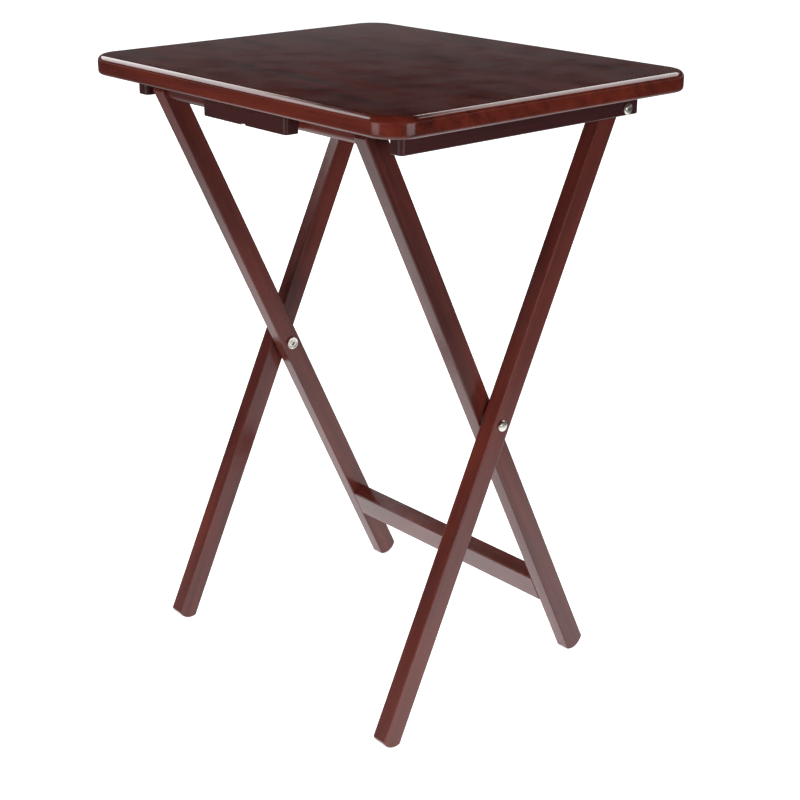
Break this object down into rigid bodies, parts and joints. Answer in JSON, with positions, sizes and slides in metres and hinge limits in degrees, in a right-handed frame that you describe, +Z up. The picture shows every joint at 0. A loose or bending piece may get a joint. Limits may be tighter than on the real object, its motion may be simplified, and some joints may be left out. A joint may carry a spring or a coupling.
{
  "type": "folding tray table",
  "caption": "Folding tray table: a rounded wooden top on two crossed, bolted leg frames that fold like scissors, with a crossbar that rests behind a catch block.",
  "frame": {"origin": "on the floor, under the middle of the tabletop, with the table open", "axes": "+X along the long side of the top, +Y along its depth towards the pivot bolts, +Z up"},
  "size_m": [0.495, 0.402, 0.66],
  "materials": {
    "top_wood": "dark espresso stain under satin lacquer",
    "rail_wood": "dark espresso stain under satin lacquer",
    "leg_wood": "red-brown espresso stain under satin lacquer",
    "dowel_wood": "unfinished beech, hidden in the joints",
    "nickel_steel": "bright nickel-plated steel",
    "nylon": "off-white nylon"
  },
  "bodies": {
    "outer_frame": {"outer_leg_left": "leg_wood", "outer_leg_right": "leg_wood", "crossing_bolt_left": "nickel_steel", "crossing_bolt_right": "nickel_steel", "crossing_spacer_left": "nylon", "crossing_spacer_right": "nylon", "pivot_insert_left": "nickel_steel", "pivot_insert_right": "nickel_steel", "pivot_bolt_left": "nickel_steel", "pivot_bolt_right": "nickel_steel", "pivot_washer_left": "nickel_steel", "pivot_washer_right": "nickel_steel"},
    "inner_frame": {"inner_leg_left": "leg_wood", "inner_leg_right": "leg_wood", "top_dowel": "leg_wood", "stretcher": "leg_wood", "stretcher_pin_left_lower": "dowel_wood", "stretcher_pin_left_upper": "dowel_wood", "stretcher_pin_right_lower": "dowel_wood", "stretcher_pin_right_upper": "dowel_wood", "crossing_nut_left": "nickel_steel", "crossing_nut_right": "nickel_steel"},
    "top": {"tabletop": "top_wood", "cleat_left": "rail_wood", "cleat_right": "rail_wood", "catch_block": "rail_wood", "catch_screw_left": "nickel_steel", "catch_screw_right": "nickel_steel", "cleat_screw_left_near": "nickel_steel", "cleat_screw_left_middle": "nickel_steel", "cleat_screw_left_far": "nickel_steel", "cleat_screw_right_near": "nickel_steel", "cleat_screw_right_middle": "nickel_steel", "cleat_screw_right_far": "nickel_steel"}
  },
  "joints": [
    {"name": "top_turn", "type": "hinge", "parent": "outer_frame", "child": "top", "pos_m": [0, 0.13728, 0.6245], "axis": [-1, 0, 0], "range_deg": [0, 110]},
    {"name": "leg_fold", "type": "hinge", "parent": "outer_frame", "child": "inner_frame", "pos_m": [0, -0.008, 0.318], "axis": [-1, 0, 0], "range_deg": [0, 50]}
  ],
  "couplings": [
    {"joint": "leg_fold", "follows": "top_turn", "ratio": 0.4545}
  ]
}
